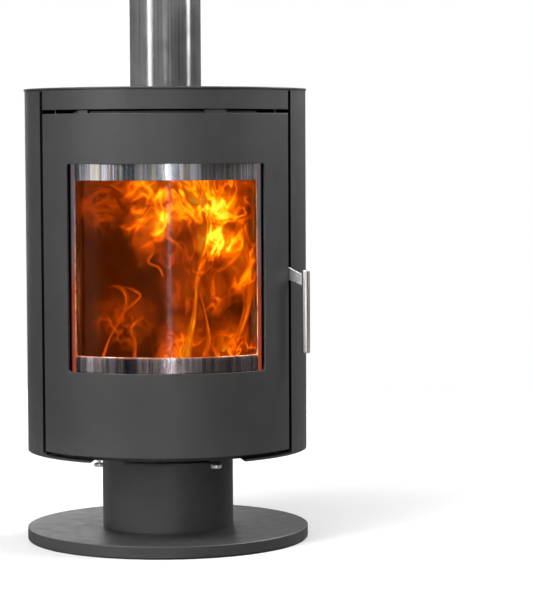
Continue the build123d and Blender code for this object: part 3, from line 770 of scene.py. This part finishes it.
def smooth_path(points):
    """Catmull-Rom curve through points of any size."""
    steps = 10
    ends = [points[0], *points, points[-1]]
    path = []
    for a, b, c, d in zip(ends, ends[1:], ends[2:], ends[3:]):
        for step in range(steps):
            t = step / steps
            path.append([
                0.5 * (2 * q + (r - p) * t + (2 * p - 5 * q + 4 * r - s) * t * t
                       + (3 * q - p - 3 * r + s) * t**3)
                for p, q, r, s in zip(a, b, c, d)
            ])
    path.append(list(points[-1]))
    return path


def flame(name, points, depth, material, chance):
    """Flattened tube along a path, twisting a little as it rises."""
    path = smooth_path(points)
    sides, flatness, thinnest = 12, 0.3, 0.0005
    bm = bmesh.new()
    uv = bm.loops.layers.uv.new("UVMap")
    lean = chance.uniform(-0.02, 0.02)
    twist = chance.uniform(-0.5, 0.5)
    rings = []
    for index, (x, z, half) in enumerate(path):
        before, after = path[max(index - 1, 0)], path[min(index + 1, len(path) - 1)]
        along = Vector((after[0] - before[0], 0, after[1] - before[1])).normalized()
        across = along.cross(Vector((0, 1, 0)))
        share = index / (len(path) - 1)
        turned = Matrix.Rotation(twist * math.sin(3 * share), 3, along) @ across
        thin = along.cross(turned)
        centre = Vector((x, depth + lean * share, z))
        half = max(half, thinnest)
        rings.append([
            bm.verts.new(centre + turned * half * math.cos(a) + thin * half * flatness * math.sin(a))
            for a in (2 * math.pi * k / sides for k in range(sides))
        ])
    last = len(rings) - 1
    for index, (first, second) in enumerate(zip(rings, rings[1:])):
        for k in range(sides):
            n = (k + 1) % sides
            face = bm.faces.new((first[k], first[n], second[n], second[k]))
            corners = ((k, index), (k + 1, index), (k + 1, index + 1), (k, index + 1))
            for loop, (side, row) in zip(face.loops, corners):
                spread = (1 - math.cos(2 * math.pi * side / sides)) / 2
                loop[uv].uv = (spread, row / last)
    bm.faces.new(list(reversed(rings[0])))
    bm.faces.new(rings[-1])
    finish_piece(f"flame_{name}", bm, material, "stove")


def gas_sheet(name, material, depth, bulge, half_width, heights, chance):
    """Thin closed curtain of burning gas, bowed towards the door and rippled."""
    bm = bmesh.new()
    across_count, rows = 48, 56
    thickness, wave = 0.0015, 0.004
    low, high = heights
    phase = chance.uniform(0, 6)
    layers = []
    for offset in (0.0, thickness):
        grid = []
        for row in range(rows + 1):
            z = low + (high - low) * row / rows
            line = []
            for column in range(across_count + 1):
                share = 2 * column / across_count - 1
                ripple = wave * math.sin(9 * share + phase) * math.sin(14 * row / rows + phase)
                y = depth - bulge * (1 - share * share) + ripple + offset
                line.append(bm.verts.new((half_width * share, y, z)))
            grid.append(line)
        layers.append(grid)
    front, back = layers
    for row in range(rows):
        for column in range(across_count):
            for grid in layers:
                corners = (grid[row][column], grid[row][column + 1])
                bm.faces.new((*corners, grid[row + 1][column + 1], grid[row + 1][column]))
    rim = [(0, c) for c in range(across_count)] + [(r, across_count) for r in range(rows)]
    rim += [(rows, c) for c in range(across_count, 0, -1)] + [(r, 0) for r in range(rows, 0, -1)]
    for (r, c), (next_r, next_c) in zip(rim, rim[1:] + rim[:1]):
        bm.faces.new((front[r][c], front[next_r][next_c], back[next_r][next_c], back[r][c]))
    finish_piece(name, bm, material, "stove")


def log(name, start, end, radius, material, chance):
    """Split log: an uneven rod with a flat split side."""
    axis = Vector(end) - Vector(start)
    along = axis.normalized()
    side = along.cross(Vector((0, 0, 1))).normalized()
    up = side.cross(along)
    rings_count, sides = 26, 28
    flat_side = 0.55 * radius
    lobes = [(chance.uniform(0, 6), chance.uniform(0.02, 0.07)) for _ in range(4)]
    bm = bmesh.new()
    rings = []
    for ring in range(rings_count + 1):
        share = ring / rings_count
        centre = Vector(start) + axis * share
        line = []
        for k in range(sides):
            a = 2 * math.pi * k / sides
            swell = sum(amp * math.sin((n + 2) * a + phase + 5 * share)
                        for n, (phase, amp) in enumerate(lobes))
            size = radius * (1 + swell)
            size *= 1 + 0.04 * chance.uniform(-1, 1)
            height = min(math.sin(a) * size, flat_side)
            line.append(bm.verts.new(centre + side * math.cos(a) * size + up * height))
        rings.append(line)
    for first, second in zip(rings, rings[1:]):
        for k in range(sides):
            n = (k + 1) % sides
            bm.faces.new((first[k], first[n], second[n], second[k]))
    bm.faces.new(list(reversed(rings[0])))
    bm.faces.new(rings[-1])
    finish_piece(name, bm, material, "stove")


def fire():
    """The fire itself: curtains of gas, separate flames, and the logs under them."""
    chance = random.Random(7)
    brick_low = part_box("brick_rear")[0].z
    middle = fire_veil("fire_middle", shift=1.7, size=1.0, sharpness=7.5, thinnest=0.0, strength=1.25)
    front = fire_veil("fire_front", shift=4.3, size=1.35, sharpness=9.0, thinnest=0.20, strength=1.35)
    for name, material, depth, bulge, half_width, heights in (
        ("fire_wall", fire_wall(), 0.060, 0.03, 0.145, (brick_low + 0.075, 0.634)),
        ("fire_middle", middle, -0.03, 0.04, 0.142, (brick_low + 0.10, 0.632)),
        ("fire_front", front, -0.130, 0.045, 0.156, (0.303, 0.640)),
    ):
        gas_sheet(name, material, depth, bulge, half_width, heights, chance)
    hot = tongue("flame_hot", base_heat=0.84, tip_heat=0.52)
    cool = tongue("flame_cool", base_heat=0.68, tip_heat=0.44)
    red = tongue("flame_red", base_heat=0.56, tip_heat=0.42)
    faint = tongue("flame_faint", base_heat=0.58, tip_heat=0.36)
    kinds = {
        "left_curl": faint, "left_hook": faint, "left_foot": red, "right_sweep": cool,
        "right_inner": red, "middle_thread": cool, "drop": red, "upper_left": red,
        "diagonal": cool, "top_ring": red, "right_arc": cool,
    }
    for number, (name, points) in enumerate(FLAMES.items()):
        depth = -0.100 - 0.006 * (number % 4)
        flame(name, points, depth, kinds.get(name, hot), chance)
    char = charred_log()
    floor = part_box("brick_floor")[1].z
    for name, start, end, radius in (
        ("log_back", (-0.12, 0.02, floor + 0.034), (0.11, 0.035, floor + 0.036), 0.031),
        ("log_left", (-0.09, -0.12, floor + 0.030), (-0.05, -0.02, floor + 0.034), 0.027),
        ("log_right", (0.10, -0.12, floor + 0.030), (0.055, -0.02, floor + 0.032), 0.028),
    ):
        log(name, start, end, radius, char, chance)


# ------------------------------------------------------------- floor and light


def stage():
    """Pale floor under the stove. The stove sees it darker than the eye does."""
    bm = bmesh.new()
    bmesh.ops.create_circle(bm, cap_ends=True, radius=2.6, segments=128)
    mesh = mesh_from("floor", bm)
    floor = put("floor", mesh)
    pale = Surface("pale_floor")
    away = pale.vector_math("LENGTH", pale.position())
    tone = pale.spread(away, 0.50, 0.64, 0.8, 1.9)  # paler away from the stove, so no horizon shows
    tone = pale.math("SUBTRACT", tone, pale.product(pale.noise(3, 3), 0.03))
    seen = pale.spread(pale.seen_directly(), 0.22, 1.0, 0.0, 1.0)
    pale.set(Base_Color=pale.product(tone, seen), Roughness=0.8)
    mesh.materials.append(pale.material)


def panel_light(name, azimuth, distance, height, width, tall, power,
                mirrored=True, aim_height=0.5, spread=180):
    """Softbox that faces the stove. Azimuth and spread are in degrees, azimuth from the front to +X."""
    data = bpy.data.lights.new(name, "AREA")
    data.shape = "RECTANGLE"
    data.size = width
    data.size_y = tall
    data.energy = power
    data.spread = math.radians(spread)
    light = put(name, data)
    light.location = (*polar(distance, azimuth), height)
    aim = Vector((0, 0, aim_height)) - light.location
    light.rotation_euler = aim.to_track_quat("-Z", "Y").to_euler()
    light.visible_camera = False
    light.visible_glossy = mirrored
    light.visible_transmission = mirrored


def backdrop():
    """White where it is seen, and a dimmer light from above for what it lights and mirrors."""
    white = (1, 1, 1, 1)
    world = bpy.data.worlds.new("studio")
    bpy.context.scene.world = world
    world.use_nodes = True
    sky = Nodes(world.node_tree)
    _, _, height = sky.split(sky.add("TexCoord").outputs["Generated"])
    soft = sky.tree.nodes["Background"]
    sky.feed(soft.inputs["Color"], white)
    sky.feed(soft.inputs["Strength"], sky.spread(height, 0.08, 0.66, 0.1, 1.0))
    plain = sky.add("Background", {"Color": white, "Strength": 1.0})
    shaders = {1: soft.outputs["Background"], 2: plain.outputs["Background"]}
    either = sky.add("MixShader", {"Fac": sky.seen_directly(), **shaders})
    sky.feed(sky.tree.nodes["World Output"].inputs["Surface"], either.outputs["Shader"])


def lights():
    """Softboxes round the stove, a wide sun from above, and the fire's own light."""
    # Name, azimuth, distance, height, width, tall, power
    panel_light("key_left", -50, 2.5, 1.55, 0.75, 1.6, 17)
    panel_light("low_left", -42, 1.6, 0.06, 0.4, 0.1, 0.26, mirrored=False, aim_height=0.09, spread=12)
    panel_light("side_left", -62, 2.5, 0.30, 0.6, 0.8, 2.2)
    panel_light("front_card", 0, 5.0, 0.4, 5.0, 1.4, 7.5)
    panel_light("high_left", -46, 1.9, 2.5, 1.4, 1.0, 116)
    panel_light("strip_right", 82, 2.4, 1.55, 0.6, 1.6, 14)
    panel_light("high_right", 74, 1.9, 2.3, 1.1, 0.9, 56)
    panel_light("back_right", 128, 2.2, 1.9, 1.0, 1.2, 58)
    panel_light("strip_front", 2.4, 4.8, 0.14, 0.26, 1.0, 22)
    panel_light("low_back", -168, 3.0, 0.8, 1.6, 1.3, 13)
    sun = bpy.data.lights.new("overhead", "SUN")
    sun.energy = 1.5
    sun.angle = math.radians(48)
    lamp = put("overhead", sun)
    lamp.rotation_euler = Vector((0.75, 0.9, -1)).to_track_quat("-Z", "Y").to_euler()
    ember = bpy.data.lights.new("fire_light", "AREA")
    ember.size = 0.2
    ember.energy = 1.2
    ember.color = (1.0, 0.32, 0.06)
    glow = put("fire_light", ember)
    glow.location = (0.02, -0.06, 0.5)
    glow.rotation_euler = (math.radians(90), 0, math.radians(180))
    glow.visible_camera = False
    glow.visible_transmission = False
    glow.visible_glossy = False


def camera():
    """The photo's view: its place and turn come from the ellipses and edges in the photo."""
    data = bpy.data.cameras.new("camera")
    data.sensor_width = 36
    data.lens = 142
    eye = put("camera", data)
    eye.location = (0, -4.226, 0.693)
    pitch, yaw, roll = math.radians(90 - 3.95), math.radians(-2.36), math.radians(-0.25)
    turn = Matrix.Rotation(yaw, 4, "Z") @ Matrix.Rotation(pitch, 4, "X") @ Matrix.Rotation(roll, 4, "Z")
    eye.rotation_euler = turn.to_euler()
    bpy.context.scene.camera = eye


camera()
dress_frame()
painted_shell()
window_pieces()
flue_pipe()
handle()
fire()
stage()
backdrop()
lights()
bpy.context.scene.view_settings.view_transform = "Standard"
